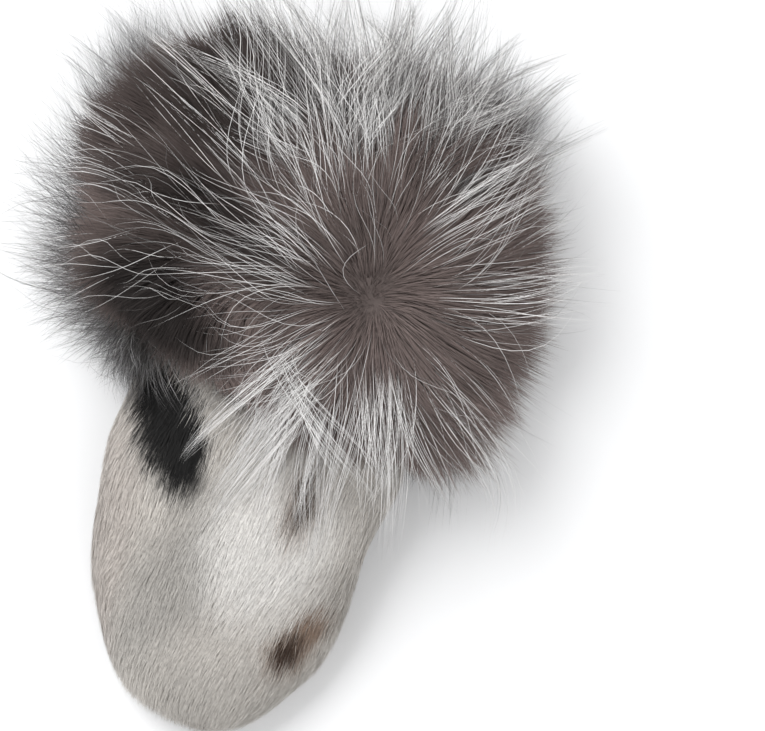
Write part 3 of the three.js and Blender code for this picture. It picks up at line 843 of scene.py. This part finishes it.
def guard_weight(turn, along):
    """Guard hair stands in loose groups, with more at the lower rim and on the right."""
    over = (turn > 15) & (turn < 165)
    left = over * smooth(95, 130, turn)
    right = smooth(60, 20, np.minimum(turn, 360 - turn))
    lower = over * smooth(0.22, 0.02, along)
    groups = 0.12 + smooth(-0.35, 0.5, waves(np.stack([turn / 13, along * 7], axis=1), 1.0, 45))
    crest = smooth(9, 4, np.abs(turn - 60)) * smooth(0.4, 0.5, along) * smooth(0.75, 0.6, along)
    near = np.hypot((turn - math.degrees(CROWN_TURN)) / 16, (along - CROWN_ALONG) / 0.16)
    corner = over * smooth(66, 92, turn) * smooth(0.5, 0.2, along)
    weight = mix(0.5, 1.0, over) * mix(1.0, mix(1.6, 0.5, left), lower)
    weight = weight * mix(1.0, 0.32, left) * mix(1.0, 1.5, right) * mix(1.0, 0.16, corner)
    weight = weight * (groups + 0.5 * crest)
    return weight * smooth(0.7, 1.2, near) * mix(1.0, 4.0, smooth(3.4, 1.3, near))


def tuft_weight(turn, along):
    """White tufts that hang over the hand."""
    right = smooth(12, 24, turn) * mix(0.25, 1.0, smooth(84, 62, turn))
    return right * smooth(98, 90, turn) * smooth(0.16, 0.04, along)


def mane_weight(turn, along):
    """Pale and black hair at the open rim, over the hand."""
    return smooth(22, 38, turn) * smooth(96, 74, turn) * smooth(0.7, 0.9, along)


def wisp_weight(turn, along):
    """The lower hair that shows beyond the underfur, at the two rims and at the sides."""
    left = (np.abs(turn - 184) < 20) * mix(1.0, 5.0, smooth(0.6, 0.2, along))
    right = np.abs((turn + 180) % 360 - 180 + 4) < 16
    rim = 0.35 * (along > 0.93) * (1 - 0.6 * (turn > 115) * (turn < 170))
    return 0.02 + rim + 0.1 * (along < 0.02) + left + right


# Long hair of the cuff, in clumps. Lengths are in millimetres, flattest is in degrees from the
# hide's normal and swing in radians. gather says how far a clump's hairs draw together, and draw
# how late: less than 1 is near the root. reach is how far out hair may lie, as shares of the
# outline, and pale is the share of white hairs.
LONG_HAIR = [
    {
        "name": "guard_hair_a", "seed": 41, "weigh": guard_weight, "kind": "guard",
        "clumps": 62, "each": 13, "stations": 11, "length": 78, "width": (0.11, 0.2),
        "root": 26, "spread": 5, "flattest": 77, "swing": 0.22, "droop": 12,
        "gather": 0.95, "draw": 1.2, "curl": 14, "own_curl": 2.5, "pale": 0.88, "reach": (1.15, 1.35),
    },
    {
        "name": "guard_hair_b", "seed": 42, "weigh": guard_weight, "kind": "guard",
        "clumps": 60, "each": 7, "stations": 11, "length": 76, "width": (0.1, 0.18),
        "root": 26, "spread": 12, "flattest": 77, "swing": 0.22, "droop": 12,
        "gather": 0.4, "draw": 1.2, "curl": 14, "own_curl": 6, "pale": 0.8, "reach": (1.15, 1.35),
    },
    {
        "name": "tufts", "seed": 43, "weigh": tuft_weight, "kind": "guard",
        "clumps": 21, "each": 22, "stations": 12, "length": 87, "width": (0.11, 0.2),
        "root": 23, "spread": 3.2, "flattest": 84, "swing": 0.18, "droop": 30,
        "gather": 1.4, "draw": 0.8, "curl": 14, "own_curl": 1.8, "pale": 0.85, "reach": (1.45, 1.75),
    },
    {
        "name": "mane", "seed": 44, "weigh": mane_weight, "kind": "guard",
        "clumps": 64, "each": 26, "stations": 11, "length": 90, "width": (0.13, 0.26),
        "root": 18, "spread": 4, "flattest": 84, "swing": 0.38, "droop": 24,
        "gather": 1.25, "draw": 0.8, "curl": 20, "own_curl": 2.5, "pale": 0.38, "reach": (1.28, 1.58),
    },
    {
        "name": "wisps", "seed": 51, "weigh": wisp_weight, "kind": "wisp",
        "clumps": 720, "each": 14, "stations": 7, "length": 94, "width": (0.12, 0.25),
        "root": 2, "spread": 6, "flattest": 86, "swing": 0.22, "droop": 14,
        "gather": 0.85, "draw": 1.2, "curl": 10, "own_curl": 3, "pale": 0.5, "reach": (1.05, 1.36),
    },
]

# Colours from root to tip, of pale and of dark hair
HAIR_COLOURS = {
    "guard": {
        "pale": [(0.0, UNDERFUR), (0.12, UNDERFUR), (0.34, WHITE_HAIR), (0.9, WHITE_HAIR), (1.0, WHITE_TIP)],
        "dark": [(0.0, UNDERFUR_DARK), (0.3, NEARLY_BLACK), (0.6, (0.1, 0.09, 0.088)), (1.0, NEARLY_BLACK)],
    },
    "wisp": {
        "pale": [
            (0.0, UNDERFUR_DARK), (0.35, (0.2, 0.19, 0.185)), (0.6, (0.55, 0.54, 0.54)),
            (0.85, (0.42, 0.41, 0.42)), (1.0, (0.1, 0.095, 0.1)),
        ],
        "dark": [
            (0.0, NEARLY_BLACK), (0.5, (0.17, 0.16, 0.155)),
            (0.8, (0.08, 0.075, 0.075)), (1.0, NEARLY_BLACK),
        ],
    },
}


def choose_roots(rng, clumps, weigh):
    """Turns and places along the band for clumps, by a weight for each place."""
    candidates = clumps * 60
    turn = spread_turns(rng.uniform(size=candidates))
    along = rng.uniform(-0.02, 1.02, candidates)
    weight = weigh(np.degrees(turn), along)
    chosen = rng.choice(candidates, clumps, replace=False, p=weight / weight.sum())
    return turn[chosen], along[chosen]


def long_lines(row, turn, along, lean_more, swing, reach):
    """Long hair from places on the band. It parts round the crown and droops."""
    crown = band_place(CROWN_TURN, CROWN_ALONG, 0.0)[0]
    point, normal = band_place(turn, along, row["root"] * MM)
    far = np.linalg.norm(point - crown, axis=1)
    away = away_from(crown, point, normal, swing + fall(point + normal * 0.02))
    top = np.clip(normal[:, 2], 0, 1)
    lean = np.minimum(1, 0.6 + 0.4 * far / 0.02) * mix(0.85, 1.0, top)
    lean = lean * math.radians(row["flattest"]) + lean_more
    lean = lean + 0.24 * np.clip(-away[:, 1], 0, 1) * smooth(0.35, 0.0, along)
    at = stations_along(row["stations"])
    bend = lean[:, None, None] * mix(0.55, 1.1, at)
    lines = bent_lines(point, normal, away, bend, reach, row["stations"])
    sag = row["droop"] * MM * at[..., 0] ** 2
    lines[..., 2] -= sag * (reach / (row["length"] * MM))[:, None]
    return lines, normal


def curled(rng, lines, clump, clumps, row):
    """Waves each clump as a whole and each hair by itself, more towards the tips."""
    at = stations_along(row["stations"])
    ways = (
        (rng.normal(size=(clumps, 3))[clump], row["curl"] * MM),
        (rng.normal(size=(len(lines), 3)), row["own_curl"] * MM),
    )
    for way, size in ways:
        phase = rng.uniform(0, FULL_TURN, (clumps, 1, 1))[clump]
        turns = rng.uniform(2, 5, (clumps, 1, 1))[clump]
        swung = np.sin(phase + at * turns) - np.sin(phase)
        lines = lines + unit(way)[:, None] * size * swung * at ** 1.4
    return lines


def fox_lines(rng, row):
    """Lines of long hair in clumps, their normals and each one's clump."""
    clumps = row["clumps"]
    clump_turn, clump_along = choose_roots(rng, clumps, row["weigh"])
    count = clumps * row["each"]
    clump = np.repeat(np.arange(clumps), row["each"])
    spread = row["spread"] * MM
    turn = clump_turn[clump] + rng.normal(scale=spread / 0.06, size=count)
    along = clump_along[clump] + rng.normal(scale=spread / CUFF_LENGTH, size=count)
    along = np.clip(along, -0.03, 1.03)
    clump_lean = rng.normal(scale=0.1, size=clumps)
    clump_swing = rng.normal(scale=row["swing"], size=clumps)
    clump_length = rng.uniform(0.85, 1.08, clumps)
    lower = smooth(0.25, 0.0, clump_along)
    clump_length *= 1 + lower * mix(0.12, -0.3, smooth(95, 120, np.degrees(clump_turn)))
    clump_reach = row["length"] * MM * clump_length
    reach = clump_reach[clump] * rng.uniform(0.78, 1.06, count)
    lean = clump_lean[clump] + rng.normal(scale=0.06, size=count)
    swing = clump_swing[clump] + rng.normal(scale=0.08, size=count)
    lines, normals = long_lines(row, turn, along, lean, swing, reach)
    middles, _ = long_lines(row, clump_turn, clump_along, clump_lean, clump_swing, clump_reach)
    held = row["gather"] * rng.uniform(0.5, 1.4, clumps)[clump] * rng.uniform(0.6, 1.0, count)
    pull = np.minimum(held, 0.97)[:, None, None] * stations_along(row["stations"]) ** row["draw"]
    lines = lines + (middles[clump] - lines) * pull
    lines = curled(rng, lines, clump, clumps, row)
    low = FLOOR_GAP + rng.uniform(0, 0.006, (count, 1))
    lines[..., 2] = np.maximum(lines[..., 2], low)
    return lines, normals, clump


def make_long_hair(row):
    rng = np.random.default_rng(row["seed"])
    lines, normals, clump = fox_lines(rng, row)
    count = len(lines)
    limit = rng.uniform(*row["reach"], row["clumps"])[clump] * rng.uniform(0.93, 1.04, count)
    lines = drawn_in(lines, limit)
    roots = lines[:, 0] / MM
    # Fewer white hairs on the lower left, as painted shade where the underfur is shaded
    shaded = smooth(-5, -35, roots[:, 0]) * smooth(215, 175, roots[:, 1])
    pale = rng.uniform(size=count) < row["pale"] * mix(1.0, 0.45, shaded)
    tone = np.where(pale, rng.uniform(0.8, 1.0, count), rng.uniform(0, 0.3, count))
    colours = HAIR_COLOURS[row["kind"]]
    material = hair_material(row["name"], colours["pale"], colours["dark"], 0.4, 0.0)
    at = np.linspace(0, 1, row["stations"])
    profile = np.interp(at, (0, 0.3, 0.65, 1), (0.6, 1.0, 0.95, 0))
    lines = outside_body(lines)
    width = rng.uniform(*row["width"], count) * MM
    roll = rng.normal(scale=0.6, size=count)
    piece = strands(row["name"], lines, width, normals, roll, profile, material, tone)
    dress(piece, "fox_fur")


def make_cuff():
    mass = make_cuff_mass()
    for row in UNDERFUR_PIECES:
        make_underfur(mass, row["name"], row["seed"])
    for row in LONG_HAIR:
        make_long_hair(row)


make_camera()
make_floor()
make_light()
make_back()
make_leather()
make_cuff()
